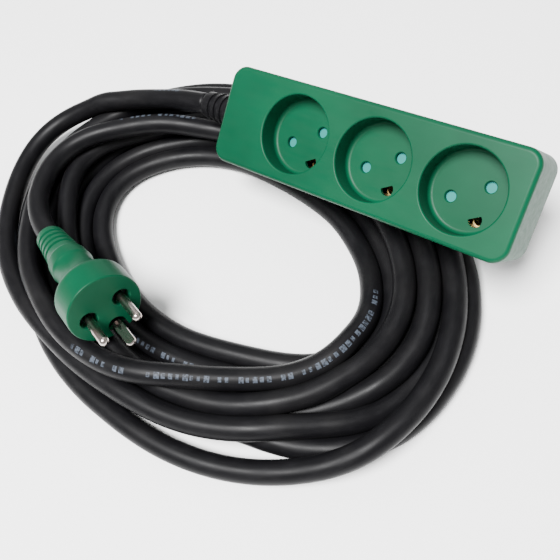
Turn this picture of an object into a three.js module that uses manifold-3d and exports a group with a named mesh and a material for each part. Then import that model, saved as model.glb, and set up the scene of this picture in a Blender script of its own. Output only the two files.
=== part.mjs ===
// A three-gang type K extension cord: an outlet block lying tilted on its coiled rubber cord, with
// the moulded plug on the near side of the coil. Millimetres, +Z up. The origin is on the surface
// that the coil lies on, below the middle of the outlet block, and +X runs along the block's length.
import * as THREE from 'three';
import * as BufferGeometryUtils from 'three/addons/utils/BufferGeometryUtils.js';
import Module from 'manifold-3d';

const wasm = await Module();
wasm.setup();

// ---------------------------------------------------------------- driving dimensions
const GAP = 0.3;                    // clearance between touching pieces
const CORD_R = 6;                   // rubber cord, 12 mm across

// outlet block, in its own frame: X along it, Y across it, Z out of its front face, origin at the
// middle of the middle socket
const BLOCK_AT = [-1.1, -10.9, 65.1];
const LEAN = 38.4;                  // degrees that the front face tips towards -Y
const SLOPE = 6.1;                  // degrees that the far end rises
const LEFT = -95;                   // cord end of the block
const RIGHT = 75.5;
const WIDTH = 52;
const THICK = 35;
const CORNER = 8;                   // corner radius seen from the front
const EDGE = 2.4;                   // rounding of the front edges
const WALL = 2.5;
const BASE = 2.5;                   // base plate
const PITCH = 46.5;                 // from socket to socket
const SOCKET_R = 20;
const SOCKET_DEEP = 13;
const FLOOR = 2.2;                  // thickness of a socket's floor
const TURN = 30;                    // degrees from the block's length to a socket's row of pin holes
const PIN_OUT = 9.5;                // from a socket's axis to each of the two pins
const EARTH_OUT = 13.4;
const PIN_HOLE_R = 2.75;
const EARTH_R = 3.3;

// plug, in its own frame: X the way the pins point, Y along the two pins, Z away from the earth pin
const PLUG_AT = [-77.5, -135.7, 46.8];
const PLUG_TURN = [-1.8, -10, -15.5];     // roll, dip and heading in degrees
const DISC_R = 19.4;
const DISC_DEEP = 16;
const PLUG_LONG = 72;
const PIN_R = 2.4;
const PIN_LONG = 19;
const EARTH_PIN_LONG = 17.5;

// coil: the outer shape of its turns, between two ovals
const COIL_HIGH = 24;
const OUTER = { x: -78, y: -65.4, a: 157, b: 111, turn: -6 };
const INNER = { x: -60, y: -65, a: 83, b: 51.5, turn: -1 };

// stretches of cord that aren't coiled, as points on the cord's middle line
const CORD_TO_BLOCK = [
  [-120.7, 0, 38.6], [-128, -0.2, 37.7], [-138, -2, 36], [-150, -4.5, 33.5], [-162, -7.5, 31],
];
const CORD_TO_PLUG = [
  [-145.8, -116.8, 34.3], [-155, -114, 33], [-163.5, -109.5, 32], [-172.5, -102.5, 31.2],
  [-180, -94, 30.7], [-186, -83.5, 30.6], [-189.3, -72, 30.6], [-188, -60, 30.6], [-181.5, -47.5, 30.6],
];

// ---------------------------------------------------------------- helpers
const rad = THREE.MathUtils.degToRad;

function solid(geometry) {
  const bare = geometry.index ? geometry.toNonIndexed() : geometry.clone();
  bare.deleteAttribute('normal');
  bare.deleteAttribute('uv');
  const merged = BufferGeometryUtils.mergeVertices(bare, 1e-4);
  return new wasm.Manifold(new wasm.Mesh({
    numProp: 3,
    vertProperties: new Float32Array(merged.attributes.position.array),
    triVerts: new Uint32Array(merged.index.array),
  }));
}

function geometryOf(manifold) {
  const mesh = manifold.getMesh();
  const geometry = new THREE.BufferGeometry();
  geometry.setAttribute('position', new THREE.BufferAttribute(mesh.vertProperties, 3));
  geometry.setIndex(new THREE.BufferAttribute(mesh.triVerts, 1));
  geometry.computeVertexNormals();
  return geometry;
}

const cut = (first, ...others) => others.reduce((rest, other) => rest.subtract(other), first);

// box between two corners
function box([x0, y0, z0], [x1, y1, z1]) {
  const geometry = new THREE.BoxGeometry(x1 - x0, y1 - y0, z1 - z0);
  return solid(geometry.translate((x0 + x1) / 2, (y0 + y1) / 2, (z0 + z1) / 2));
}

// upright round bar from z0 to z1
function bar(radius, z0, z1, x = 0, y = 0, sides = 14) {
  const geometry = new THREE.CylinderGeometry(radius, radius, z1 - z0, sides);
  return solid(geometry.rotateX(Math.PI / 2).translate(x, y, (z0 + z1) / 2));
}

// the same bar lying along X from x0 to x1
function barX(radius, x0, x1, y = 0, z = 0, sides = 16) {
  const geometry = new THREE.CylinderGeometry(radius, radius, x1 - x0, sides);
  return solid(geometry.rotateZ(Math.PI / 2).translate((x0 + x1) / 2, y, z));
}

// solid of revolution about X, from [x, radius] points
function latheX(profile, sides = 20) {
  const points = profile.map(([x, r]) => new THREE.Vector2(r, x));
  const geometry = new THREE.LatheGeometry(points, sides);
  return solid(geometry.rotateZ(-Math.PI / 2));
}

function roundedOutline(x0, x1, width, radius) {
  const shape = new THREE.Shape();
  const half = width / 2;
  shape.moveTo(x0 + radius, -half);
  shape.lineTo(x1 - radius, -half);
  shape.absarc(x1 - radius, -half + radius, radius, -Math.PI / 2, 0);
  shape.lineTo(x1, half - radius);
  shape.absarc(x1 - radius, half - radius, radius, 0, Math.PI / 2);
  shape.lineTo(x0 + radius, half);
  shape.absarc(x0 + radius, half - radius, radius, Math.PI / 2, Math.PI);
  shape.lineTo(x0, -half + radius);
  shape.absarc(x0 + radius, -half + radius, radius, Math.PI, 1.5 * Math.PI);
  return shape;
}

// the block's outline drawn in by `inset`, from z0 to z1, with its edges rounded by `edge`
function slab(inset, z0, z1, edge = 0) {
  const shape = roundedOutline(LEFT + inset, RIGHT - inset, WIDTH - 2 * inset, CORNER - inset * 0.8);
  const geometry = new THREE.ExtrudeGeometry(shape, {
    depth: z1 - z0 - 2 * edge,
    bevelEnabled: edge > 0,
    bevelThickness: edge,
    bevelSize: edge,
    bevelOffset: -edge,
    bevelSegments: 3,
    curveSegments: 4,
  });
  return solid(geometry.translate(0, 0, z0 + edge));
}

const material = (color, roughness, metalness = 0) =>
  new THREE.MeshStandardMaterial({ color, roughness, metalness });
const GREEN = material(0x1f7a56, 0.42);
const TEAL = material(0x2fa890, 0.5);
const RUBBER = material(0x1c1c20, 0.7);
const BLACK = material(0x141416, 0.6);
const NICKEL = material(0xb9b4ac, 0.22, 1);
const BRASS = material(0xb08d4a, 0.3, 1);
const STEEL = material(0x9a9ca0, 0.35, 1);
const CORE_COLOURS = {
  line: material(0x5a3420, 0.5),
  neutral: material(0x2a5aa8, 0.5),
  earth: material(0x7a9a2a, 0.5),
};

const extensionCord = new THREE.Group();
const block = new THREE.Group();
block.position.set(...BLOCK_AT);
block.rotation.set(rad(LEAN), rad(-SLOPE), 0, 'YXZ');
extensionCord.add(block);
const plug = new THREE.Group();
plug.position.set(...PLUG_AT);
plug.rotation.set(...PLUG_TURN.map(rad), 'ZYX');
extensionCord.add(plug);

function add(group, name, shape, look) {
  const mesh = new THREE.Mesh(shape.isBufferGeometry ? shape : geometryOf(shape), look);
  mesh.name = name;
  group.add(mesh);
  return mesh;
}

// ---------------------------------------------------------------- where things are in the block
const SOCKETS = [-PITCH, 0, PITCH];
const COS = Math.cos(rad(TURN));
const SIN = Math.sin(rad(TURN));
const PIN_PLACES = {
  line: [-PIN_OUT * COS, -PIN_OUT * SIN],
  neutral: [PIN_OUT * COS, PIN_OUT * SIN],
  earth: [EARTH_OUT * SIN, -EARTH_OUT * COS],
};
const SEAM = -(THICK - BASE);                    // where the cover meets the base plate
const UNDER_FLOOR = -(SOCKET_DEEP + FLOOR);      // lower side of the socket floors
const CORD_Z = -17.5;                            // height of the cord's entry
const CLAMP_X = -86;
const CLAMP_SCREWS_Y = [-11, 11];
const BASE_SCREWS = [[-88, -18.8], [-88, 18.8], [68.5, -18.8], [68.5, 18.8]];
const RIBS_X = [-PITCH / 2, PITCH / 2];
const SCREW_R = 1.5;
const SCREW_HOLE_R = SCREW_R + GAP;

// half-round earth opening: its flat side faces the two pins
function halfRound(radius, z0, z1, flat) {
  const whole = bar(radius, z0, z1);
  const above = box([-2 * radius, flat, z0 - 1], [2 * radius, 2 * radius, z1 + 1]);
  return cut(whole, above).rotate([0, 0, TURN]);
}

// ---------------------------------------------------------------- cover with its three sockets
const DISH_SIDES = 40;
const CUP_WALL = 2;
const BOSS_R = 3.6;
const RIB_HALF = 0.8;                            // half a rib's thickness
function topCover() {
  let cover = slab(0, SEAM - 6, 0, EDGE);
  cover = cut(cover, box([LEFT - 5, -WIDTH, SEAM - 12], [RIGHT + 5, WIDTH, SEAM]));
  cover = cut(cover, slab(WALL, SEAM - 6, -WALL));
  for (const x of SOCKETS) {
    cover = cover.add(bar(SOCKET_R + CUP_WALL, UNDER_FLOOR, -1, x, 0, DISH_SIDES));
  }
  for (const [x, y] of BASE_SCREWS) {
    cover = cover.add(bar(BOSS_R, SEAM, -1, x, y));
  }
  for (const x of RIBS_X) {
    const from = [x - RIB_HALF, -WIDTH / 2 + 1, -21.6];
    const to = [x + RIB_HALF, WIDTH / 2 - 1, -1];
    cover = cover.add(box(from, to));
  }
  for (const x of SOCKETS) {
    const pivot = bar(2, UNDER_FLOOR - 4.8, UNDER_FLOOR + 1, x);
    const dish = bar(SOCKET_R, -SOCKET_DEEP, 1, x, 0, DISH_SIDES);
    cover = cover.subtract(dish).add(pivot);
    for (const [px, py] of [PIN_PLACES.line, PIN_PLACES.neutral]) {
      cover = cover.subtract(bar(PIN_HOLE_R, UNDER_FLOOR - 1, 0, x + px, py));
    }
    const [ex, ey] = PIN_PLACES.earth;
    const slot = halfRound(EARTH_R, UNDER_FLOOR - 1, 0, EARTH_R * 0.35).translate([x + ex, ey, 0]);
    cover = cover.subtract(slot);
  }
  for (const [x, y] of BASE_SCREWS) {
    cover = cover.subtract(bar(SCREW_HOLE_R, SEAM - 1, SEAM + 14, x, y, 10));
  }
  return cover.subtract(barX(9, LEFT - 1, LEFT + WALL + 1, 0, CORD_Z, 24));
}
add(block, 'top_cover', topCover(), GREEN);

// ---------------------------------------------------------------- base plate, its screws and cord clamp
function baseCover() {
  const low = -THICK;
  const top = SEAM - GAP;
  const blank = slab(GAP, low, top + 4, 1.2);
  let base = cut(blank, box([LEFT - 5, -WIDTH, top], [RIGHT + 5, WIDTH, top + 10]));
  const rim = cut(slab(WALL + GAP, top - 1, top + 2), slab(WALL + 1.8, top - 2, top + 3));
  base = base.add(rim);
  for (const x of RIBS_X) {
    base = base.add(box([x - RIB_HALF, -18, top - 1], [x + RIB_HALF, 18, SEAM + 2.6]));
  }
  const saddleTop = CORD_Z - CORD_R - GAP;
  base = base.add(box([CLAMP_X - 4, -7, top - 1], [CLAMP_X + 4, 7, saddleTop]));
  for (const y of CLAMP_SCREWS_Y) {
    base = base.add(bar(BOSS_R, top - 1, CORD_Z + 5, CLAMP_X, y));
  }
  for (const y of CLAMP_SCREWS_Y) {
    base = base.subtract(bar(SCREW_HOLE_R, CORD_Z - 6, CORD_Z + 6, CLAMP_X, y, 10));
  }
  for (const [x, y] of BASE_SCREWS) {
    // the rim is left out round each screw boss
    base = base.subtract(bar(BOSS_R + GAP, top, top + 3, x, y));
    base = base.subtract(bar(SCREW_HOLE_R, low - 1, top + 1, x, y, 10));
    base = base.subtract(bar(3.5, low - 1, low + 1.4, x, y));
  }
  return base;
}
add(block, 'base_cover', baseCover(), GREEN);

// screw standing along Z with its head at headZ, pointing the way of `way` (+1 up, -1 down)
function screw(headR, headHigh, length, way) {
  const head = bar(headR, -headHigh, 0, 0, 0, 16);
  const shank = bar(SCREW_R, -0.5, length, 0, 0, 10);
  const slot = box([-headR - 1, -0.4, -headHigh - 1], [headR + 1, 0.4, -headHigh + 0.6]);
  const whole = cut(head.add(shank), slot);
  return way > 0 ? whole : whole.rotate([180, 0, 0]);
}
BASE_SCREWS.forEach(([x, y], i) => {
  const mesh = add(block, `base_screw_${i + 1}`, screw(3.1, 1, 12, 1), STEEL);
  mesh.position.set(x, y, -THICK + 1.4 - GAP);
});

function cordClamp() {
  const low = CORD_Z + CORD_R + GAP;
  let clamp = box([CLAMP_X - 3.5, -15, low], [CLAMP_X + 3.5, 15, low + 2.6]);
  for (const y of CLAMP_SCREWS_Y) {
    clamp = clamp.subtract(bar(SCREW_HOLE_R, low - 1, low + 4, CLAMP_X, y, 10));
  }
  return clamp;
}
add(block, 'cord_clamp', cordClamp(), STEEL);
CLAMP_SCREWS_Y.forEach((y, i) => {
  const mesh = add(block, `clamp_screw_${i + 1}`, screw(2.8, 1.6, 10, -1), STEEL);
  mesh.position.set(CLAMP_X, y, CORD_Z + CORD_R + 2.6 + 2 * GAP);
});

// ---------------------------------------------------------------- shutters behind the sockets
const SHUTTER_TOP = UNDER_FLOOR - GAP;
const SHUTTER_THICK = 1.4;
const PAD_HALF = 24;                             // half the angle that a shutter pad covers

function shutter() {
  const shape = new THREE.Shape();
  const inner = 4.4;
  const outer = 12.8;
  for (const middle of [0, 180]) {
    const from = rad(middle - PAD_HALF);
    const to = rad(middle + PAD_HALF);
    if (middle === 0) shape.moveTo(outer * Math.cos(from), outer * Math.sin(from));
    shape.absarc(0, 0, outer, from, to);
    shape.absarc(0, 0, inner, rad(middle + PAD_HALF + 20), rad(middle + 160 - PAD_HALF));
  }
  shape.closePath();
  const options = { depth: SHUTTER_THICK, bevelEnabled: false, curveSegments: 6 };
  const plate = solid(new THREE.ExtrudeGeometry(shape, options));
  const turned = plate.rotate([0, 0, TURN]).translate([0, 0, SHUTTER_TOP - SHUTTER_THICK]);
  return turned.subtract(bar(2 + GAP, SHUTTER_TOP - 3, SHUTTER_TOP + 1));
}

function ring(innerR, outerR, z0, z1) {
  return cut(bar(outerR, z0, z1), bar(innerR, z0 - 1, z1 + 1));
}
SOCKETS.forEach((x, i) => {
  const low = SHUTTER_TOP - SHUTTER_THICK;
  const pieces = [
    [`shutter_${i + 1}`, shutter(), TEAL],
    [`shutter_spring_${i + 1}`, ring(2.5, 3.3, low - GAP - 1, low - GAP), STEEL],
    [`shutter_retainer_${i + 1}`, ring(2 + GAP, 4.1, low - 2 * GAP - 1.9, low - 2 * GAP - 1), STEEL],
  ];
  for (const [name, shape, look] of pieces) add(block, name, shape, look).position.x = x;
});

// ---------------------------------------------------------------- contacts and terminals
const STRIP_THICK = 0.8;
const STRIP_TOP = -22;
const STRIP_LOW = -29.4;
const TERMINAL_LEFT = -70;
const TUBE_R = 3.3;                              // contact tube that a pin goes into
const TUBE_BORE_R = 2.55;
// strip's side of its row of contacts, and the terminal's middle, both as Y in the block
const BUSBARS = {
  line: { strip: -2.3, terminal: -3 },
  neutral: { strip: 7.4, terminal: 8 },
  earth: { strip: -15.3, terminal: -14 },
};

function busbar(kind) {
  const { strip, terminal } = BUSBARS[kind];
  const [px, py] = PIN_PLACES[kind];
  const last = PITCH + px + 3;
  const stripTo = strip + STRIP_THICK;
  let whole = box([TERMINAL_LEFT + 1, strip, STRIP_LOW], [last, stripTo, STRIP_TOP]);
  whole = whole.add(box([TERMINAL_LEFT, terminal - 4, -29.8], [TERMINAL_LEFT + 9, terminal + 4, -20]));
  for (const x of SOCKETS) {
    whole = whole.add(bar(TUBE_R, -30.2, -20.5, x + px, py));
  }
  for (const x of SOCKETS) {
    whole = whole.subtract(bar(TUBE_BORE_R, -31, -19.5, x + px, py));
  }
  whole = whole.subtract(barX(1.7, TERMINAL_LEFT - 1, TERMINAL_LEFT + 7, terminal, -24, 10));
  return whole.subtract(bar(SCREW_HOLE_R, -31, -25, TERMINAL_LEFT + 4, terminal, 10));
}
for (const kind of Object.keys(BUSBARS)) {
  add(block, `${kind}_busbar`, busbar(kind), BRASS);
  const mesh = add(block, `${kind}_terminal_screw`, screw(2.3, 1, 3.6, 1), STEEL);
  mesh.position.set(TERMINAL_LEFT + 4, BUSBARS[kind].terminal, -29.8 - GAP);
}

// tube along hand-set points
function tube(points, radius, steps, sides) {
  const path = new THREE.CatmullRomCurve3(points.map((p) => new THREE.Vector3(...p)));
  const section = new THREE.Shape();
  section.absarc(0, 0, radius, 0, 2 * Math.PI);
  return new THREE.ExtrudeGeometry(section, {
    steps,
    extrudePath: path,
    curveSegments: sides,
    bevelEnabled: false,
  });
}

const CORD_END = -81.5;                          // where the sheath stops inside the block
const CORE_STARTS = { line: [0, 0.5], neutral: [2.4, -1.6], earth: [-2.6, -1.6] };
for (const [kind, [y, z]] of Object.entries(CORE_STARTS)) {
  const to = BUSBARS[kind].terminal;
  const route = [
    [CORD_END + 1, y, CORD_Z + z],
    [CORD_END + 2, y, CORD_Z + z],
    [CORD_END + 4, y + (to - y) * 0.2, CORD_Z + z - 1.5],
    [TERMINAL_LEFT - 3.5, y + (to - y) * 0.85, -23.4],
    [TERMINAL_LEFT - 1.5, to, -24],
    [TERMINAL_LEFT - 0.6, to, -24],
  ];
  add(block, `${kind}_core`, solid(tube(route, 1.2, 6, 4)), CORE_COLOURS[kind]);
}

// ---------------------------------------------------------------- cord entry
const SLEEVE_OUT = 26;                           // sleeve's length outside the block
function entrySleeve() {
  const s = (out) => LEFT - out;                 // X at a distance outside the end wall
  const bore = CORD_R + GAP;
  const grooves = [9, 14, 19];
  const outside = [[s(0.3), 8.7], [s(0.3), 10]];
  for (const at of grooves) {
    const r = 10 - at * 0.1;
    outside.push([s(at - 1.2), r + 0.1], [s(at - 1), r - 0.9], [s(at + 1), r - 1.1], [s(at + 1.2), r - 0.1]);
  }
  outside.push([s(SLEEVE_OUT - 1), 7.4], [s(SLEEVE_OUT), 6.9]);
  const profile = [
    [s(-5), bore], [s(-5), 10.5], [s(-WALL - GAP), 10.5], [s(-WALL - GAP), 8.7],
    ...outside, [s(SLEEVE_OUT), bore], [s(-5), bore],
  ];
  return latheX(profile.reverse(), 24).translate([0, 0, CORD_Z]);
}
add(block, 'entry_sleeve', entrySleeve(), RUBBER);
add(block, 'cord_inner_end', barX(CORD_R, LEFT - SLEEVE_OUT, CORD_END, 0, CORD_Z, 20), RUBBER);

// ---------------------------------------------------------------- plug
const EARTH_Z = -EARTH_OUT;
const NECK = [
  [0, DISC_R - 0.5], [-0.6, DISC_R], [-DISC_DEEP + 1, DISC_R], [-DISC_DEEP, DISC_R - 0.9], [-18.5, 16.6],
  [-22, 14], [-27, 12], [-33, 10.9], [-37, 10.7], [-39, 11.4], [-46, 10.8], [-47.2, 9.4],
];
const RIBS_FROM = -48.6;
const RIB_STEP = 4.4;
const WELL_DEEP = 5;                             // recesses that the pins stand in
const WELL_R = 4.6;
const EARTH_WELL_R = 4.8;
function plugBody() {
  const profile = [[0, 0], ...NECK];
  for (let x = RIBS_FROM; x > -PLUG_LONG + 3; x -= RIB_STEP) {
    const r = 10 + (x - RIBS_FROM) * 0.09;
    profile.push([x, r], [x - 0.6, r - 1.1], [x - 1.6, r - 1.2], [x - 2.2, r - 0.2]);
  }
  profile.push([-PLUG_LONG + 0.8, 8], [-PLUG_LONG, 7.3], [-PLUG_LONG, 0]);
  let body = latheX(profile.reverse(), 30);
  for (const y of [-PIN_OUT, PIN_OUT]) {
    body = body.subtract(barX(WELL_R, -WELL_DEEP, 1, y));
  }
  // the earth pin's recess is open through the rim
  body = body.subtract(barX(EARTH_WELL_R, -WELL_DEEP, 1, 0, EARTH_Z));
  body = body.subtract(box([-WELL_DEEP, -EARTH_WELL_R, -DISC_R - 2], [1, EARTH_WELL_R, EARTH_Z]));
  // room for the pin carrier, and the cord's bore
  body = body.subtract(box([-11, -13.5, -16.8], [-4.9, 13.5, 4.4]));
  return body.subtract(barX(CORD_R + GAP, -PLUG_LONG - 1, -40, 0, 0, 20));
}
add(plug, 'plug_body', plugBody(), GREEN);

function pinCarrier() {
  let carrier = box([-10.7, -13.2, -16.5], [-5.3, 13.2, 4.1]);
  for (const y of [-PIN_OUT, PIN_OUT]) {
    carrier = carrier.subtract(barX(PIN_R + GAP, -12, -4, y));
  }
  return carrier.subtract(barX(3.2 + GAP, -12, -4, 0, EARTH_Z));
}
add(plug, 'pin_carrier', pinCarrier(), BLACK);

function roundPin() {
  const cap = PIN_R * 0.75;
  const profile = [[-10.4, 0], [-10.4, PIN_R], [PIN_LONG - cap, PIN_R]];
  for (const turn of [22.5, 45, 67.5]) {
    profile.push([PIN_LONG - cap + cap * Math.sin(rad(turn)), PIN_R * Math.cos(rad(turn))]);
  }
  profile.push([PIN_LONG, 0]);
  return latheX(profile, 16);
}
add(plug, 'line_pin', roundPin(), NICKEL).position.y = -PIN_OUT;
add(plug, 'neutral_pin', roundPin(), NICKEL).position.y = PIN_OUT;

// hollow half-round earth pin: a bent strip with its flat side towards the other two
function earthPin() {
  const outer = latheX([
    [-10.4, 0], [-10.4, 3.1], [EARTH_PIN_LONG - 2.4, 3.1], [EARTH_PIN_LONG - 0.8, 2.2],
    [EARTH_PIN_LONG, 0],
  ], 16);
  const flat = box([-12, -4, 1.5], [EARTH_PIN_LONG + 1, 4, 4]);
  const groove = box([-1, -1.3, 0.2], [EARTH_PIN_LONG + 1, 1.3, 4]);
  return cut(outer, flat, groove);
}
add(plug, 'earth_pin', earthPin(), NICKEL).position.z = EARTH_Z;

// ---------------------------------------------------------------- cord
function onOval({ x, y, a, b, turn }, angle) {
  const px = a * Math.cos(angle);
  const py = b * Math.sin(angle);
  const c = Math.cos(rad(turn));
  const s = Math.sin(rad(turn));
  return [x + px * c - py * s, y + px * s + py * c];
}

// ring between the two ovals: a lathe ring whose radius, 0 to 1, is laid from the inner oval to the outer
function coilRing() {
  const round = 0.12;
  const profile = [
    [0, round], [0, 1 - round], [0.2, 1 - 0.02], [0.5, 1], [0.8, 1 - 0.06], [1, 1 - 0.24],
    [1, 0.2], [0.75, 0.04], [0.45, 0], [0.2, 0.03], [0, round],
  ];
  const points = profile.map(([z, r]) => new THREE.Vector2(2 + r, z * COIL_HIGH));
  const geometry = new THREE.LatheGeometry(points, 44).rotateX(Math.PI / 2);
  const place = geometry.attributes.position;
  for (let i = 0; i < place.count; i += 1) {
    const angle = Math.atan2(place.getY(i), place.getX(i));
    const r = Math.hypot(place.getX(i), place.getY(i)) - 2;
    const from = onOval(INNER, angle);
    const to = onOval(OUTER, angle);
    place.setX(i, from[0] + (to[0] - from[0]) * r);
    place.setY(i, from[1] + (to[1] - from[1]) * r);
  }
  return solid(geometry);
}

// room that the block takes, a little larger than the block itself
function blockRoom() {
  const room = box([LEFT - 0.5, -WIDTH / 2 - 0.5, -THICK - 0.5], [RIGHT + 0.5, WIDTH / 2 + 0.5, 1]);
  block.updateMatrix();
  const e = block.matrix.elements;
  return room.transform([...e]);
}
add(extensionCord, 'cord_coil', coilRing().subtract(blockRoom()), RUBBER);
add(extensionCord, 'cord_to_block', solid(tube(CORD_TO_BLOCK, CORD_R, 4, 6)), RUBBER);
add(extensionCord, 'cord_to_plug', solid(tube(CORD_TO_PLUG, CORD_R, 6, 6)), RUBBER);

export default extensionCord;
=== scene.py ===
"""A three-gang type K extension cord: the outlet block lies tilted on its coiled rubber cord, and the
moulded plug lies on the near side of the coil. Metres, +Z up, in the CAD model's frame."""

import math

import bmesh
import bpy
import numpy as np
from mathutils import Matrix, Vector


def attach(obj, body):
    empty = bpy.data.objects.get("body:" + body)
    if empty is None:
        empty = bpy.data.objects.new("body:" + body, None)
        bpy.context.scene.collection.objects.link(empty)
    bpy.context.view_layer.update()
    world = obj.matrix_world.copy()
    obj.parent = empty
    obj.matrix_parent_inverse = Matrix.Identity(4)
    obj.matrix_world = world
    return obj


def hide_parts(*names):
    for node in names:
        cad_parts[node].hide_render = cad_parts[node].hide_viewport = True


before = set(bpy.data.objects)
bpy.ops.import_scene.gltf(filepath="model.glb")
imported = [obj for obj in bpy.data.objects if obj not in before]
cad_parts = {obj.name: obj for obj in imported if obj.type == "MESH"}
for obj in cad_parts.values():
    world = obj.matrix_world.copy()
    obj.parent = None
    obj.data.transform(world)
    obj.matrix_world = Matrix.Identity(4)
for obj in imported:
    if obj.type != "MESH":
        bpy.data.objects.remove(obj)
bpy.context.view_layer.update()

# ---------------------------------------------------------------- driving dimensions
MM = 0.001
CORD_R = 6 * MM

# Everything below is in millimetres.
# outlet block, in its own frame: X along it, Y across it, Z out of its front face
BLOCK_AT = (-1.1, -10.9, 65.1)
LEAN = 38.4
SLOPE = 6.1
LEFT = -95
RIGHT = 75.5
WIDTH = 52
THICK = 35
SEAM = -32.5
CORNER = 8
EDGE = 2.4
WALL = 2.5
PITCH = 46.5
SOCKET_R = 20
SOCKET_DEEP = 13
SOCKET_FLOOR = 2.2                           # how thick the cover is under a socket
RIM = 0.9                                    # rounding of a socket's rim
FILLET = 2.2                                 # rounding between a socket's wall and floor
TURN = math.radians(30)                      # of a socket's row of pin holes
PIN_OUT = 9.5
PIN_HOLE_R = 2.75
EARTH_OUT = 13.4
EARTH_R = 3.3
CORD_Z = -17.5
SLEEVE_OUT = 26
ENTRY_R = 9
BORE_R = 6.3                                 # room for the cord in the sleeve and in the plug
BOSS_R = 3.6                                 # bosses that the base screws go into
PILOT_R = 1.8
PILOT_DEEP = 14
STUB_R = 2                                   # studs that the shutters turn on
STUB_LONG = 4.8
BEVEL = 0.35                                 # at the mouth of a pin hole
PAST = 2                                     # how far a cutting shape reaches past what it cuts

# plug, in its own frame: X the way the pins point, Y along the two pins, Z away from the earth pin
PLUG_AT = (-77.5, -135.7, 46.8)
PLUG_TURN = (-1.8, -10, -15.5)
DISC_R = 19.4
PLUG_LONG = 72
WELL_DEEP = 5
WELL_R = 4.6
EARTH_WELL_R = 4.8
PIN_R = 2.4
PIN_LONG = 19
PIN_ROOT = -10.4
EARTH_PIN_LONG = 17.5
EARTH_PIN_R = 2.75
CARRIER_ROOM = ((-11, -13.5, -16.8), (-4.9, 13.5, 4.4))     # what the pin carrier fills

SOCKETS = (-PITCH, 0, PITCH)
BLOCK = (
    Matrix.Translation(Vector(BLOCK_AT) * MM)
    @ Matrix.Rotation(math.radians(-SLOPE), 4, "Y")
    @ Matrix.Rotation(math.radians(LEAN), 4, "X")
)
PLUG = (
    Matrix.Translation(Vector(PLUG_AT) * MM)
    @ Matrix.Rotation(math.radians(PLUG_TURN[2]), 4, "Z")
    @ Matrix.Rotation(math.radians(PLUG_TURN[1]), 4, "Y")
    @ Matrix.Rotation(math.radians(PLUG_TURN[0]), 4, "X")
)


# ---------------------------------------------------------------- camera
def make_camera():
    data = bpy.data.cameras.new("camera")
    data.sensor_width = 36
    data.lens = 41.75
    camera = bpy.data.objects.new("camera", data)
    camera.location = (0.112, -0.177, 0.312)
    camera.rotation_euler = [math.radians(a) for a in (29.14, 9.78, 34.75)]
    bpy.context.scene.collection.objects.link(camera)
    bpy.context.scene.camera = camera


make_camera()

# ---------------------------------------------------------------- cord: route
# stretches that aren't coiled, as points on the cord's middle line, in metres
CORD_TO_BLOCK = [
    (-0.1207, 0, 0.0386), (-0.128, -0.0002, 0.0377), (-0.138, -0.002, 0.036),
    (-0.150, -0.0045, 0.0335), (-0.162, -0.0075, 0.031),
]
CORD_TO_PLUG = [
    (-0.1458, -0.1168, 0.0343), (-0.155, -0.114, 0.033), (-0.1635, -0.1095, 0.032),
    (-0.1725, -0.1025, 0.0312), (-0.180, -0.094, 0.0307), (-0.186, -0.0835, 0.0306),
    (-0.1893, -0.072, 0.0306), (-0.188, -0.060, 0.0306), (-0.1815, -0.0475, 0.0306),
]
# the coil's turns run between two ovals, in metres and degrees
OUTER = {"middle": (-0.078, -0.0654), "half": (0.157, 0.111), "turn": -6}
INNER = {"middle": (-0.060, -0.065), "half": (0.083, 0.0515), "turn": -1}
LANE_STEP = 30
FIRST_ANGLE = 150
# one row a turn, ending at 90 degrees, a value every 30 degrees: millimetres out from the inner oval
LANES = [
    [54.5, 83, 79, 63, 47, 39, 34, 38, 36, 44, 48],
    [50, 52, 52, 52, 50, 51, 37, 43, 46, 49, 46, 52],
    [68, 70, 70, 67, 60, 55, 57, 54, 48, 43, 44, 50],
    [52, 58, 57, 56, 56, 46, 21, 13, 5, 3, 6, 8],
    [13, 15, 16, 12, 8, 6, 2.5, 8, 14, 14.5, 17, 19],
    [26, 27, 28, 26, 21, 19, 14, 20, 26, 26, 28, 30],
    [38, 40, 40, 40, 34, 31, 25, 30, 31, 31, 30, 30],
    [32, 34, 41, 33, 30, 33, 32, 24, 18, 16.5, 18, 24],
    [24, 32],
]
# the layer that each turn starts in before it settles, a value for each one in LANES
LAYERS = [
    [1.85, 0.25, 0, 0.8, 1, 1, 0.3, 0, 0, 0, 0],
    [0, 0, 0, 0, 0, 0, 0, 0, 0, 0, 0, 0],
    [0, 0, 0, 0, 0, 0, 0, 0.1, 0.9, 1, 1, 1],
    [1, 1, 1, 1, 1, 1.7, 1.7, 1.3, 0.4, 0, 0, 0],
    [0, 0, 0, 0, 0, 0.5, 0.2, 0, 0, 0, 0, 0],
    [0, 0, 0, 0, 0, 0, 0, 0, 0, 0, 0, 0],
    [0, 0, 0, 0, 0, 0, 0, 0.5, 1.2, 1.3, 1.6, 2],
    [1, 1, 1, 1, 1, 1, 1, 1, 1, 1, 1.5, 1.9],
    [1.4, 2.2],
]
LAYER_HIGH = 10.4 * MM
LANE_POINTS = 12                             # points laid from one value in LANES to the next
SMOOTHINGS = 80                              # rounds of smoothing that don't shrink the line
NODE_STEP = 6 * MM                           # between the nodes of the cord that settles


def on_oval(oval, angle):
    x, y = oval["half"][0] * np.cos(angle), oval["half"][1] * np.sin(angle)
    turn = math.radians(oval["turn"])
    c, s = math.cos(turn), math.sin(turn)
    return np.stack([oval["middle"][0] + x * c - y * s, oval["middle"][1] + x * s + y * c], axis=-1)


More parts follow.
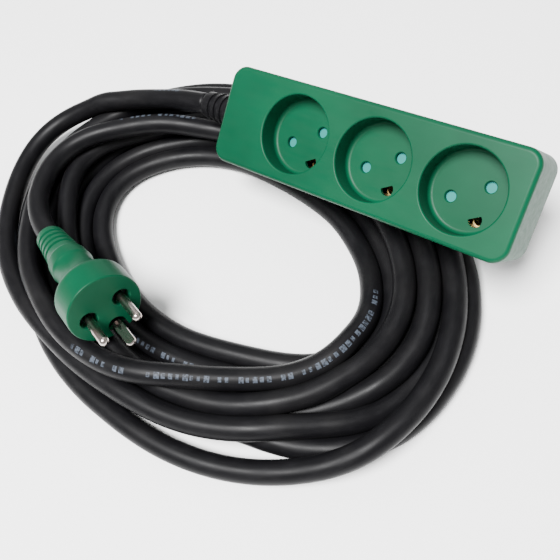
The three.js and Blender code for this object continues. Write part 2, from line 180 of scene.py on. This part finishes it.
def smooth_at(values, at):
    """Catmull-Rom curve through the values, read at fractional places along them."""
    values = np.asarray(values, float)
    i = np.clip(np.floor(at).astype(int), 0, len(values) - 2)
    t = (at - i).reshape((-1,) + (1,) * (values.ndim - 1))
    last = len(values) - 1
    a, b, c, d = (values[np.clip(i + k, 0, last)] for k in (-1, 0, 1, 2))
    return 0.5 * (2 * b + (c - a) * t + (2 * a - 5 * b + 4 * c - d) * t**2 + (3 * b - a - 3 * c + d) * t**3)


def run_along(points):
    """How far along a line each of its points is."""
    return np.concatenate([[0], np.cumsum(np.linalg.norm(np.diff(points, axis=0), axis=1))])


def evenly(points, step):
    """The same line with points an even step apart."""
    along = run_along(points)
    at = np.linspace(0, along[-1], round(along[-1] / step) + 1)
    return np.stack([np.interp(at, along, points[:, k]) for k in range(3)], axis=1)


def laid_out():
    """The cord before it settles: from the block, round the coil's turns, to the plug."""
    lanes = np.concatenate(LANES) * MM
    layers = np.concatenate(LAYERS)
    at = np.linspace(0, len(lanes) - 1, (len(lanes) - 1) * LANE_POINTS + 1)
    angle = np.radians(FIRST_ANGLE + LANE_STEP * at)
    inner, outer = on_oval(INNER, angle), on_oval(OUTER, angle)
    out = (outer - inner) / np.linalg.norm(outer - inner, axis=1, keepdims=True)
    place = inner + out * smooth_at(lanes, at)[:, None]
    high = CORD_R + LAYER_HIGH * smooth_at(layers, at)
    coil = np.column_stack([place, high])
    line = evenly(np.concatenate([CORD_TO_BLOCK, coil, CORD_TO_PLUG[::-1]]), NODE_STEP)
    for way in (0.5, -0.51) * SMOOTHINGS:
        line[1:-1] += ((line[:-2] + line[2:]) / 2 - line[1:-1]) * way
    return line


# ---------------------------------------------------------------- cord: how it settles
ROUNDS = 700
HELD = 7                                     # nodes at each end that stay where they are
REACH = 2 * CORD_R
NEAR = 1.6 * REACH                           # nodes this near are watched until the next search
APART = 5                                    # nodes along the cord that never press on each other
LOOK_EVERY = 8                               # rounds between searches for neighbours
SINK = 0.08 * MM                             # what a free node drops in a round
PULL = 0.05                                  # share of its way back over its place in the layout
LATE = 0.9                                   # share of the rounds after which the pull is LATE_PULL
LATE_PULL = 0.01
STIFF = 0.3                                  # how strongly a node follows the nodes beside it
STIFF_WIDE = 0.1                             # and the nodes three away
PRESSES = 3                                  # times a round that touching stretches are pressed apart
PRESS = 1.3                                  # share of their overlap that a press takes away
TINY = 1e-6                                  # metres that count as none


def out_of_block(points):
    """Pushes points that are nearer than the cord's radius to the outlet block back out of it."""
    to_block = np.array(BLOCK.inverted())
    local = points @ to_block[:3, :3].T + to_block[:3, 3]
    low = np.array([LEFT, -WIDTH / 2, -THICK]) * MM
    high = np.array([RIGHT, WIDTH / 2, 0]) * MM
    nearest = np.clip(local, low, high)
    away = local - nearest
    far = np.linalg.norm(away, axis=1)
    outside = (far > TINY) & (far < CORD_R)
    local[outside] += away[outside] * (CORD_R / far[outside] - 1)[:, None]
    inside = far <= TINY
    local[inside, 2] = -THICK * MM - CORD_R
    from_block = np.array(BLOCK)
    return local @ from_block[:3, :3].T + from_block[:3, 3]


def neighbours(line):
    """The pairs of nodes that are near enough to touch soon."""
    gap = line[:, None] - line[None]
    order = np.arange(len(line))
    near = ((gap**2).sum(2) < NEAR**2) & (order[None] - order[:, None] > APART)
    return np.nonzero(near)


def pressed_apart(line, pairs):
    """How far each node moves so that touching stretches stand a diameter apart."""
    a, b = pairs
    gap = line[a] - line[b]
    far = np.maximum(np.linalg.norm(gap, axis=1), TINY)
    touching = far < REACH
    a, b, gap, far = a[touching], b[touching], gap[touching], far[touching]
    push = gap * ((REACH - far) / far * 0.5)[:, None]
    total = np.zeros_like(line)
    count = np.zeros(len(line))
    for ends, way in ((a, 1), (b, -1)):
        for axis in range(3):
            total[:, axis] += way * np.bincount(ends, push[:, axis], len(line))
        count += np.bincount(ends, minlength=len(line))
    return total / np.maximum(count, 1)[:, None]


def settle(line):
    """Lets the cord sink on the floor and on itself, a diameter apart, while it stays stiff."""
    aim = line.copy()
    free = np.ones(len(line), bool)
    free[:HELD] = free[-HELD:] = False
    for number in range(ROUNDS):
        if number % LOOK_EVERY == 0:
            pairs = neighbours(line)
        line[free, 2] -= SINK
        pull = LATE_PULL if number > ROUNDS * LATE else PULL
        line[free, :2] += (aim[free, :2] - line[free, :2]) * pull
        shift = line - aim * [1, 1, 0]
        beside = (shift[:-2] + shift[2:]) / 2 - shift[1:-1]
        wide = (shift[:-6] + shift[6:]) / 2 - shift[3:-3]
        line[1:-1] += beside * STIFF * free[1:-1, None]
        line[3:-3] += wide * STIFF_WIDE * free[3:-3, None]
        for _ in range(PRESSES):
            line += pressed_apart(line, pairs) * PRESS * free[:, None]
            line[free, 2] = np.maximum(line[free, 2], CORD_R)
            line[free] = out_of_block(line[free])
    return line


route = settle(laid_out())


# ---------------------------------------------------------------- materials
def new_material(name, colour, roughness, metallic=0, **sockets):
    """A Principled material whose colour and roughness can be given texture afterwards."""
    made = bpy.data.materials.new(name)
    made.use_nodes = True
    shader = made.node_tree.nodes["Principled BSDF"]
    shader.inputs["Base Color"].default_value = (*colour, 1)
    shader.inputs["Roughness"].default_value = roughness
    shader.inputs["Metallic"].default_value = metallic
    for socket, value in sockets.items():
        shader.inputs[socket.replace("_", " ")].default_value = value
    return made


class Tree:
    """Short names for adding nodes to a material."""

    def __init__(self, made):
        self.nodes = made.node_tree.nodes
        self.links = made.node_tree.links
        self.shader = self.nodes["Principled BSDF"]

    def add(self, kind, inputs=None, **settings):
        node = self.nodes.new(kind)
        for key, value in settings.items():
            setattr(node, key, value)
        for key, value in (inputs or {}).items():
            if isinstance(value, bpy.types.NodeSocket):
                self.links.new(value, node.inputs[key])
            else:
                node.inputs[key].default_value = value
        return node

    def place(self, stretch=(1, 1, 1), uv=None):
        """Where on the piece a point is, stretched."""
        if uv:
            source = self.add("ShaderNodeUVMap", uv_map=uv).outputs["UV"]
        else:
            source = self.add("ShaderNodeTexCoord").outputs["Object"]
        return self.add("ShaderNodeMapping", {"Vector": source, "Scale": stretch}).outputs["Vector"]

    def noise(self, scale, detail=4, at=None, rough=0.55):
        at = at or self.place()
        inputs = {"Vector": at, "Scale": scale, "Detail": detail, "Roughness": rough}
        return self.add("ShaderNodeTexNoise", inputs).outputs["Fac"]

    def between(self, value, low, high, to_low, to_high):
        inputs = {"Value": value, "From Min": low, "From Max": high, "To Min": to_low, "To Max": to_high}
        return self.add("ShaderNodeMapRange", inputs).outputs["Result"]

    def maths(self, how, a, b=0.0):
        node = self.add("ShaderNodeMath", operation=how)
        for socket, value in zip(node.inputs, (a, b)):
            if isinstance(value, bpy.types.NodeSocket):
                self.links.new(value, socket)
            else:
                socket.default_value = value
        return node.outputs["Value"]

    def mix(self, fac, a, b):
        node = self.add("ShaderNodeMix", data_type="RGBA")
        for socket, value in ((node.inputs[0], fac), (node.inputs[6], a), (node.inputs[7], b)):
            if isinstance(value, bpy.types.NodeSocket):
                self.links.new(value, socket)
            else:
                socket.default_value = value if isinstance(value, float) else (*value, 1)
        return node.outputs[2]

    def bump(self, height, distance, strength=1.0, after=None):
        inputs = {"Height": height, "Distance": distance, "Strength": strength}
        if after:
            inputs["Normal"] = after
        return self.add("ShaderNodeBump", inputs).outputs["Normal"]

    def finish(self, colour=None, roughness=None, normal=None):
        for name, value in (("Base Color", colour), ("Roughness", roughness), ("Normal", normal)):
            if value:
                self.links.new(value, self.shader.inputs[name])


def plastic(name, colour, roughness):
    """Moulded plastic: slightly uneven colour, fine grain and faint handling marks."""
    made = new_material(name, colour, roughness, IOR=1.5, Specular_IOR_Level=0.12)
    tree = Tree(made)
    broad = tree.noise(18, 3)
    fine = tree.noise(900, 3)
    rubbed = tree.noise(55, 6, tree.place((1, 5, 5)), 0.7)
    darker = tuple(c * 0.86 for c in colour)
    lighter = tuple(min(1, c * 1.12) for c in colour)
    tone = tree.mix(tree.between(broad, 0.35, 0.65, 0.0, 1.0), darker, lighter)
    speck = tree.between(tree.noise(1500, 2), 0.66, 0.8, 0.0, 0.35)
    tone = tree.mix(speck, tone, tuple(c * 0.55 for c in colour))
    marks = tree.between(rubbed, 0.58, 0.78, 0.0, 0.10)
    tone = tree.mix(marks, tone, tuple(0.9 * c + 0.006 for c in colour))
    rough = tree.between(rubbed, 0.3, 0.75, roughness - 0.05, roughness + 0.10)
    normal = tree.bump(fine, 0.012 * MM, 0.6)
    normal = tree.bump(broad, 0.05 * MM, 0.5, normal)
    tree.finish(tone, rough, normal)
    return made


def metal(name, colour, roughness, tarnish_and_reflection, stretch=(1, 1, 1)):
    """Metal with faint brushing, uneven polish and patches of a second tone: tarnish, which on the nickel
    pins also stands for a painted brownish reflection.
    """
    made = new_material(name, colour, roughness, 1)
    tree = Tree(made)
    patches = tree.noise(120, 5)
    lines = tree.noise(700, 4, tree.place(stretch))
    # patches lean towards the second tone: tarnish on brass and steel, and on the nickel pins a painted
    # brownish reflection along with some tarnish
    tone = tree.mix(tree.between(patches, 0.42, 0.7, 0.0, 0.8), colour, tarnish_and_reflection)
    rough = tree.between(patches, 0.3, 0.7, roughness * 0.8, roughness * 1.5)
    tree.finish(tone, rough, tree.bump(lines, 0.006 * MM, 0.6))
    return made


PRINT_TONE = (0.065, 0.078, 0.10)
PRINT_FULL = 0.75                            # how much of the rubber an unworn mark covers
PRINT_SIDE = 0.43                            # how far round the cord the marks are; 0.5 is its top
MARK_STEP = 3.4 * MM                         # from mark to mark
MARK_TALL = 0.075                            # share of the way round the cord
MARKS_LEFT_OUT = 0.16                        # share of the marks


def rubber(name, colour, roughness, uv=None):
    """Matt rubber with long faint scuffs and dust; with a UV map it also carries a row of marks."""
    made = new_material(name, colour, roughness, IOR=1.5, Specular_IOR_Level=0.10)
    tree = Tree(made)
    scuffs = tree.noise(1, 5, tree.place((70, 9, 1), uv) if uv else tree.place((60, 400, 400)), 0.65)
    fine = tree.noise(1600, 3)
    dust = tree.noise(30, 5)
    scuffed = tuple(2.1 * c + 0.001 for c in colour)
    tone = tree.mix(tree.between(scuffs, 0.5, 0.8, 0.0, 0.5), colour, scuffed)
    tone = tree.mix(tree.between(dust, 0.5, 0.8, 0.0, 0.22), tone, (0.022, 0.021, 0.020))
    if uv:
        tone = tree.mix(marks_on_cord(tree, uv), tone, PRINT_TONE)
    rough = tree.between(scuffs, 0.35, 0.75, roughness - 0.06, roughness + 0.12)
    normal = tree.bump(fine, 0.03 * MM, 0.5)
    normal = tree.bump(scuffs, 0.04 * MM, 0.4, normal)
    tree.finish(tone, rough, normal)
    return made


def marks_on_cord(tree, uv):
    """Pale broken dashes where the mesh says that the cord is printed. They stand for no letters."""
    split = tree.add("ShaderNodeSeparateXYZ", {"Vector": tree.place(uv=uv)})
    cell = tree.maths("DIVIDE", split.outputs["X"], MARK_STEP)
    number = tree.maths("FLOOR", cell)
    part = tree.maths("FRACT", cell)
    chance = tree.add("ShaderNodeTexWhiteNoise", {"W": number}, noise_dimensions="1D").outputs["Value"]
    long_enough = tree.maths("LESS_THAN", part, tree.between(chance, 0.0, 1.0, 0.35, 0.8))
    kept = tree.maths("GREATER_THAN", chance, MARKS_LEFT_OUT)
    across = tree.maths("ABSOLUTE", tree.maths("SUBTRACT", split.outputs["Y"], PRINT_SIDE))
    tall = tree.between(chance, 0.0, 1.0, MARK_TALL * 0.35, MARK_TALL * 0.6)
    inside = tree.maths("LESS_THAN", across, tall)
    worn = tree.between(tree.noise(900, 4), 0.38, 0.55, 0.15, 1.0)
    total = tree.add("ShaderNodeAttribute", attribute_name="printed").outputs["Fac"]
    for share in (long_enough, kept, inside, worn, PRINT_FULL):
        total = tree.maths("MULTIPLY", total, share)
    return total


RUBBER = (0.0035, 0.0034, 0.0040)
LOOKS = {
    "green": plastic("green plastic", (0.0006, 0.048, 0.021), 0.42),
    "base": plastic("base plate plastic", (0.006, 0.04, 0.02), 0.48),
    "teal": plastic("shutter plastic", (0.012, 0.17, 0.155), 0.45),
    "black": plastic("pin carrier plastic", (0.012, 0.012, 0.013), 0.5),
    "rubber": rubber("rubber", RUBBER, 0.47),
    "cord": rubber("cord rubber", RUBBER, 0.42, "cord_uv"),
    # the nickel's brownish patch tone is a painted reflection of its brown surroundings, with some tarnish
    "nickel": metal("nickel plate", (0.50, 0.46, 0.43), 0.17, (0.22, 0.14, 0.12)),
    "brass": metal("brass", (0.72, 0.50, 0.20), 0.28, (0.45, 0.26, 0.10)),
    "steel": metal("zinc-plated steel", (0.55, 0.56, 0.57), 0.33, (0.36, 0.35, 0.33), (1, 8, 8)),
    "line": plastic("line core insulation", (0.10, 0.035, 0.015), 0.5),
    "neutral": plastic("neutral core insulation", (0.02, 0.09, 0.36), 0.5),
    "earth": plastic("earth core insulation", (0.20, 0.34, 0.03), 0.5),
}


# ---------------------------------------------------------------- mesh tools
# a shape is a pair: its points, and its faces as lists of point numbers
def joined(*shapes):
    """Several shapes as one."""
    points, faces = [], []
    for some, loops in shapes:
        faces += [[i + len(points) for i in loop] for loop in loops]
        points += list(some)
    return points, faces


def moved(shape, x=0.0, y=0.0, z=0.0):
    return [(a + x, b + y, c + z) for a, b, c in shape[0]], shape[1]


def turned(shape, matrix):
    return [tuple(matrix @ Vector(p)) for p in shape[0]], shape[1]


def stack(rings):
    """A closed shape through rings of as many points each, lowest first, going round to the left."""
    n = len(rings[0])
    faces = [list(range(n))[::-1], [n * (len(rings) - 1) + i for i in range(n)]]
    for k in range(len(rings) - 1):
        for i in range(n):
            j = (i + 1) % n
            faces.append([k * n + i, k * n + j, (k + 1) * n + j, (k + 1) * n + i])
    return [p for ring in rings for p in ring], faces


def circle(radius, z, sides):
    angles = [2 * math.pi * i / sides for i in range(sides)]
    return [(radius * math.cos(a), radius * math.sin(a), z) for a in angles]


def lathe(profile, sides):
    """Solid of revolution about Z through (radius, z) points, lowest first."""
    return stack([circle(max(r, 0.001), z, sides) for r, z in profile])


# turns Z to X, X to Y and Y to Z
TO_X = Matrix(((0, 0, 1, 0), (1, 0, 0, 0), (0, 1, 0, 0), (0, 0, 0, 1)))


def lathe_x(profile, sides):
    """Solid of revolution about X through (x, radius) points, lowest x first."""
    return turned(lathe([(r, x) for x, r in profile], sides), TO_X)


def arc(middle, radius, start, end, steps):
    """Points on an arc, angles in degrees."""
    angles = [math.radians(start + (end - start) * i / steps) for i in range(steps + 1)]
    return [(middle[0] + radius * math.cos(a), middle[1] + radius * math.sin(a)) for a in angles]


def block_ring(inset, z):
    """The block's outline seen from the front, drawn in by inset."""
    radius = max(CORNER - inset, 0.3)
    ring = []
    corners = (
        (RIGHT - inset, WIDTH / 2 - inset, 0), (LEFT + inset, WIDTH / 2 - inset, 90),
        (LEFT + inset, -WIDTH / 2 + inset, 180), (RIGHT - inset, -WIDTH / 2 + inset, 270),
    )
    for x, y, start in corners:
        middle = (x - math.copysign(radius, x), y - math.copysign(radius, y))
        ring += [(px, py, z) for px, py in arc(middle, radius, start, start + 90, 12)]
    return ring


def box(low, high):
    return stack([
        [(low[0], low[1], z), (high[0], low[1], z), (high[0], high[1], z), (low[0], high[1], z)]
        for z in (low[2], high[2])
    ])


def as_object(name, shape):
    mesh = bpy.data.meshes.new(name)
    mesh.from_pydata(list(shape[0]), [], list(shape[1]))
    made = bmesh.new()
    made.from_mesh(mesh)
    bmesh.ops.recalc_face_normals(made, faces=made.faces)
    made.to_mesh(mesh)
    made.free()
    piece = bpy.data.objects.new(name, mesh)
    bpy.context.scene.collection.objects.link(piece)
    return piece


def change(piece, how, shape):
    """Adds a shape to a piece or takes it away."""
    tool = as_object("tool", shape)
    step = piece.modifiers.new("step", "BOOLEAN")
    step.operation = how
    step.solver = "EXACT"
    step.object = tool
    shown = piece.evaluated_get(bpy.context.evaluated_depsgraph_get())
    mesh = bpy.data.meshes.new_from_object(shown)
    piece.modifiers.clear()
    piece.data = mesh
    bpy.data.objects.remove(tool)


SHARP = math.radians(32)


def settle_piece(piece, look, place, node):
    """Gives a piece its place, look and shading, and hides the CAD node that it stands for."""
    piece.data.transform(Matrix.Scale(MM, 4))
    piece.data.materials.clear()
    piece.data.materials.append(LOOKS[look])
    piece.data.shade_smooth()
    piece.data.set_sharp_from_angle(angle=SHARP)
    piece.modifiers.new("even shading", "WEIGHTED_NORMAL").keep_sharp = True
    piece.matrix_world = place
    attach(piece, "set")
    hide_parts(node)
    return piece


# ---------------------------------------------------------------- outlet block
UNDER_FLOOR = -(SOCKET_DEEP + SOCKET_FLOOR)
PIN_PLACES = [(side * PIN_OUT * math.cos(TURN), side * PIN_OUT * math.sin(TURN)) for side in (-1, 1)]
EARTH_PLACE = (EARTH_OUT * math.sin(TURN), -EARTH_OUT * math.cos(TURN))
BASE_SCREWS = ((-88, -18.8), (-88, 18.8), (68.5, -18.8), (68.5, 18.8))


def block_shell():
    rings = [block_ring(0.3, SEAM), block_ring(0, SEAM + 0.3)]
    rings += [block_ring(EDGE - r, -EDGE + z) for r, z in arc((0, 0), EDGE, 0, 90, 8)]
    return stack(rings)


def dish():
    """What a socket takes out of the cover: a round recess with a rounded rim and a filleted floor."""
    profile = [(SOCKET_R - FILLET, -SOCKET_DEEP)]
    profile += arc((SOCKET_R - FILLET, -SOCKET_DEEP + FILLET), FILLET, -90, 0, 8)[1:]
    profile += arc((SOCKET_R + RIM, -RIM), RIM, 180, 90, 6)
    profile += [(SOCKET_R + RIM, 2)]
    return lathe(profile, 112)


def earth_slot():
    """Half-round opening, its flat side towards the two pin holes, with softened corners."""
    top = EARTH_R * 0.35
    start = math.degrees(math.asin(top / EARTH_R))
    ring = arc((0, 0), EARTH_R, 180 - start, 360 + start, 24)
    shape = stack([[(x, y, z) for x, y in ring] for z in (UNDER_FLOOR - 1, -SOCKET_DEEP + 2)])
    return turned(shape, Matrix.Rotation(TURN, 4, "Z"))


def pin_hole():
    """A round hole through a socket's floor, bevelled at its mouth."""
    mouth = PIN_HOLE_R + BEVEL
    profile = [(PIN_HOLE_R, UNDER_FLOOR - 1), (PIN_HOLE_R, -SOCKET_DEEP - BEVEL)]
    profile += [(mouth, -SOCKET_DEEP), (mouth, -SOCKET_DEEP + PAST)]
    return lathe(profile, 40)


def make_block_cover():
    cover = as_object("block_cover", block_shell())
    change(cover, "DIFFERENCE", stack([block_ring(WALL, SEAM - PAST), block_ring(WALL, -WALL)]))
    cup = lathe([(SOCKET_R + 2, UNDER_FLOOR), (SOCKET_R + 2, -1)], 96)
    boss = lathe([(BOSS_R, SEAM), (BOSS_R, -1)], 24)
    inside = [moved(cup, x) for x in SOCKETS]
    inside += [moved(boss, x, y) for x, y in BASE_SCREWS]
    change(cover, "UNION", joined(*inside))
    change(cover, "DIFFERENCE", joined(*[moved(dish(), x) for x in SOCKETS]))
    openings = []
    for x in SOCKETS:
        openings += [moved(pin_hole(), x + px, py) for px, py in PIN_PLACES]
        openings.append(moved(earth_slot(), x + EARTH_PLACE[0], EARTH_PLACE[1]))
    pilot = lathe([(PILOT_R, SEAM - 1), (PILOT_R, SEAM + PILOT_DEEP)], 20)
    openings += [moved(pilot, x, y) for x, y in BASE_SCREWS]
    change(cover, "DIFFERENCE", joined(*openings))
    entry = lathe_x([(LEFT - PAST, ENTRY_R), (LEFT + WALL + 1, ENTRY_R)], 64)
    change(cover, "DIFFERENCE", moved(entry, z=CORD_Z))
    stub = lathe([(STUB_R, UNDER_FLOOR - STUB_LONG), (STUB_R, UNDER_FLOOR + 1)], 24)
    change(cover, "UNION", joined(*[moved(stub, x) for x in SOCKETS]))
    settle_piece(cover, "green", BLOCK, "top_cover")


def make_entry_sleeve():
    """Rubber sleeve round the cord, tapering away from the block, with three grooves."""
    end = LEFT - SLEEVE_OUT
    outside = [(end, 6.9), (end + 1, 7.5)]
    for at in (19, 14, 9):
        radius = 10 - at * 0.1
        middle = LEFT - at
        outside += [(middle - 1.3, radius), (middle - 1, radius - 0.9)]
        outside += [(middle + 1, radius - 0.9), (middle + 1.3, radius)]
    outside += [(LEFT - 0.9, 10), (LEFT - 0.3, 9.6), (LEFT - 0.3, 8.7), (LEFT + WALL + 0.3, 8.7)]
    outside += [(LEFT + WALL + 0.3, 10.4), (LEFT + 5, 10.4)]
    sleeve = as_object("cord_sleeve", moved(lathe_x(outside, 72), z=CORD_Z))
    bore = lathe_x([(end - PAST, BORE_R), (LEFT + 5 + PAST, BORE_R)], 48)
    change(sleeve, "DIFFERENCE", moved(bore, z=CORD_Z))
    settle_piece(sleeve, "rubber", BLOCK, "entry_sleeve")


make_block_cover()
make_entry_sleeve()


# ---------------------------------------------------------------- plug
RIBS = 4
FIRST_RIB = -67.2
RIB_STEP = 4.4
RIBS_SWELL = 0.09                            # how much wider the strain relief gets for each millimetre


def plug_profile():
    """Outside of the moulding as (x, radius), from the cord's end to the front face."""
    profile = [(-PLUG_LONG, 6.8), (-PLUG_LONG + 0.4, 7.5), (-PLUG_LONG + 1.4, 8)]
    for number in range(RIBS):
        x = FIRST_RIB + RIB_STEP * number
        radius = 8.25 + RIB_STEP * number * RIBS_SWELL
        profile += [(x, radius), (x + 0.5, radius - 0.9), (x + 1.5, radius - 1), (x + 2, radius + 0.1)]
    profile += [(-48.4, 10), (-46.8, 10.6), (-46, 10.9), (-39.6, 11.4), (-38.6, 11.2), (-37.4, 10.7)]
    profile += [(-33, 10.8), (-29.5, 11.3), (-26, 12.3), (-23, 13.6), (-20.5, 15.2), (-18.6, 16.9)]
    profile += [(-17.3, 18.2), (-16.5, 18.8), (-15.7, 19.2), (-14.8, DISC_R), (-13.5, DISC_R)]
    profile += [(-2, DISC_R), (-0.9, DISC_R - 0.05)]
    profile += [(x, r) for r, x in arc((DISC_R - 0.85, -0.8), 0.8, 0, 90, 6)]
    return profile


def earth_notch():
    """Round-topped notch that the earth pin stands in, open at the disc's rim."""
    below = -DISC_R - 3
    top = [(y, z - EARTH_OUT) for y, z in arc((0, 0), EARTH_WELL_R, 0, 180, 24)]
    ring = [(-EARTH_WELL_R, below), (EARTH_WELL_R, below)] + top
    return stack([[(x, y, z) for y, z in ring] for x in (-WELL_DEEP, PAST)])


def make_plug_shell():
    shell = as_object("plug_shell", lathe_x(plug_profile(), 112))
    mouth = WELL_R + BEVEL
    well = lathe_x([(-WELL_DEEP, WELL_R), (-0.4, WELL_R), (0, mouth), (PAST, mouth)], 48)
    change(shell, "DIFFERENCE", joined(*[moved(well, y=y) for y in (-PIN_OUT, PIN_OUT)]))
    change(shell, "DIFFERENCE", earth_notch())
    change(shell, "DIFFERENCE", box(*CARRIER_ROOM))
    change(shell, "DIFFERENCE", lathe_x([(-PLUG_LONG - PAST, BORE_R), (-40, BORE_R)], 48))
    return settle_piece(shell, "green", PLUG, "plug_body")


def pin_shape(radius, long):
    """A round pin along X with a round tip."""
    profile = [(PIN_ROOT, radius)]
    profile += [(x, r) for r, x in arc((0, long - radius), radius, 0, 88, 12)]
    return lathe_x(profile, 48)


def make_round_pin(name, y):
    pin = as_object(f"{name}_pin_turned", moved(pin_shape(PIN_R, PIN_LONG), y=y))
    return settle_piece(pin, "nickel", PLUG, f"{name}_pin")


def make_earth_pin():
    """A pin with a flat towards the other two and a slit along the flat."""
    pin = as_object("earth_pin_formed", pin_shape(EARTH_PIN_R, EARTH_PIN_LONG))
    change(pin, "DIFFERENCE", box((PIN_ROOT - 1, -4, 1.5), (EARTH_PIN_LONG + PAST, 4, 5)))
    change(pin, "DIFFERENCE", box((-1, -0.7, 0.2), (EARTH_PIN_LONG - 2.4, 0.7, 5)))
    pin.data.transform(Matrix.Translation((0, 0, -EARTH_OUT)))
    return settle_piece(pin, "nickel", PLUG, "earth_pin")


plug_pieces = [
    make_plug_shell(), make_round_pin("line", -PIN_OUT), make_round_pin("neutral", PIN_OUT),
    make_earth_pin(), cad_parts["pin_carrier"],
]

# ---------------------------------------------------------------- cord: tube
RING_STEP = 3 * MM
RING_SIDES = 28
# stretches with marks on them, in metres along the cord from the block
PRINTED = ((0.02, 0.045), (1.03, 1.12), (1.69, 1.72), (2.56, 2.74), (3.58, 3.66), (5.205, 5.25))


def tube_points(places):
    """Rings of points round the cord's middle line, each starting underneath."""
    ahead = np.gradient(places, axis=0)
    ahead /= np.linalg.norm(ahead, axis=1, keepdims=True)
    side = np.cross(ahead, (0, 0, 1))
    side /= np.linalg.norm(side, axis=1, keepdims=True)
    above = np.cross(side, ahead)
    turn = np.arange(RING_SIDES) * 2 * math.pi / RING_SIDES - math.pi / 2
    spokes = side[:, None] * np.cos(turn)[None, :, None] + above[:, None] * np.sin(turn)[None, :, None]
    return (places[:, None] + spokes * CORD_R).reshape(-1, 3)


def tube_mesh(places):
    """The cord's tube. Its UV is metres along it and the share of the way round it."""
    count = len(places)
    ring, spoke = np.meshgrid(np.arange(count - 1), np.arange(RING_SIDES), indexing="ij")
    after = (spoke + 1) % RING_SIDES
    quads = np.stack([
        ring * RING_SIDES + spoke, ring * RING_SIDES + after,
        (ring + 1) * RING_SIDES + after, (ring + 1) * RING_SIDES + spoke,
    ], axis=-1).reshape(-1, 4)
    first = list(range(RING_SIDES))[::-1]
    last = [(count - 1) * RING_SIDES + i for i in range(RING_SIDES)]
    mesh = bpy.data.meshes.new("cord")
    mesh.from_pydata(tube_points(places).tolist(), [], quads.tolist() + [first, last])
    far = run_along(places)
    u = np.stack([far[ring], far[ring], far[ring + 1], far[ring + 1]], axis=-1)
    v = np.stack([spoke, spoke + 1, spoke + 1, spoke], axis=-1) / RING_SIDES
    uv = np.zeros((len(mesh.loops), 2))
    uv[: quads.size] = np.stack([u, v], axis=-1).reshape(-1, 2)
    mesh.uv_layers.new(name="cord_uv").data.foreach_set("uv", uv.ravel().astype(np.float32))
    return mesh


def mark_printed(mesh, far):
    """Tells the material which stretches carry marks."""
    printed = np.zeros(len(far))
    for start, end in PRINTED:
        printed[(far > start) & (far < end)] = 1
    attribute = mesh.attributes.new("printed", "FLOAT", "POINT")
    attribute.data.foreach_set("value", np.repeat(printed, RING_SIDES).astype(np.float32))


def make_cord():
    along = run_along(route)
    count = round(along[-1] / RING_STEP) + 1
    places = smooth_at(route, np.interp(np.linspace(0, along[-1], count), along, np.arange(len(route))))
    mesh = tube_mesh(places)
    mark_printed(mesh, run_along(places))
    mesh.shade_smooth()
    mesh.materials.append(LOOKS["cord"])
    cord = bpy.data.objects.new("rubber_cord", mesh)
    bpy.context.scene.collection.objects.link(cord)
    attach(cord, "set")
    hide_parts("cord_coil", "cord_to_block", "cord_to_plug")


make_cord()

# ---------------------------------------------------------------- pieces carried over from the CAD model
NODE_LOOKS = {
    "base_cover": "base", "cord_clamp": "steel", "cord_inner_end": "rubber", "pin_carrier": "black",
}
NODE_LOOKS |= {f"shutter_{i}": "teal" for i in (1, 2, 3)}
NODE_LOOKS |= {f"shutter_{kind}_{i}": "steel" for kind in ("spring", "retainer") for i in (1, 2, 3)}
NODE_LOOKS |= {f"base_screw_{i}": "steel" for i in (1, 2, 3, 4)}
NODE_LOOKS |= {f"clamp_screw_{i}": "steel" for i in (1, 2)}
for kind in ("line", "neutral", "earth"):
    NODE_LOOKS |= {f"{kind}_busbar": "brass", f"{kind}_terminal_screw": "steel", f"{kind}_core": kind}
for name, look in NODE_LOOKS.items():
    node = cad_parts[name]
    node.data.materials.clear()
    node.data.materials.append(LOOKS[look])


# ---------------------------------------------------------------- floor and light
def make_floor():
    half = 3
    corners = [(x * half, y * half, 0) for x, y in ((-1, -1), (1, -1), (1, 1), (-1, 1))]
    mesh = bpy.data.meshes.new("floor")
    mesh.from_pydata(corners, [], [(0, 1, 2, 3)])
    floor = bpy.data.objects.new("floor", mesh)
    bpy.context.scene.collection.objects.link(floor)
    mesh.materials.append(new_material("pale floor", (0.98, 0.98, 0.98), 0.9, Specular_IOR_Level=0.1))


LIT = (-0.05, -0.05, 0.02)                    # where the lights point


def make_light(name, at, size, watts):
    data = bpy.data.lights.new(name, "AREA")
    data.shape = "DISK"
    data.size = size
    data.energy = watts
    light = bpy.data.objects.new(name, data)
    light.location = at
    light.rotation_euler = (Vector(LIT) - Vector(at)).to_track_quat("-Z", "Y").to_euler()
    bpy.context.scene.collection.objects.link(light)


def make_world():
    world = bpy.data.worlds.new("pale room")
    world.use_nodes = True
    background = world.node_tree.nodes["Background"]
    background.inputs["Color"].default_value = (1, 1, 1, 1)
    background.inputs["Strength"].default_value = 0.6
    bpy.context.scene.world = world


make_floor()
make_light("key", (-0.08, -0.60, 1.50), 0.7, 105)
make_light("fill", (-0.7, 0.8, 1.2), 1.2, 5)
make_world()
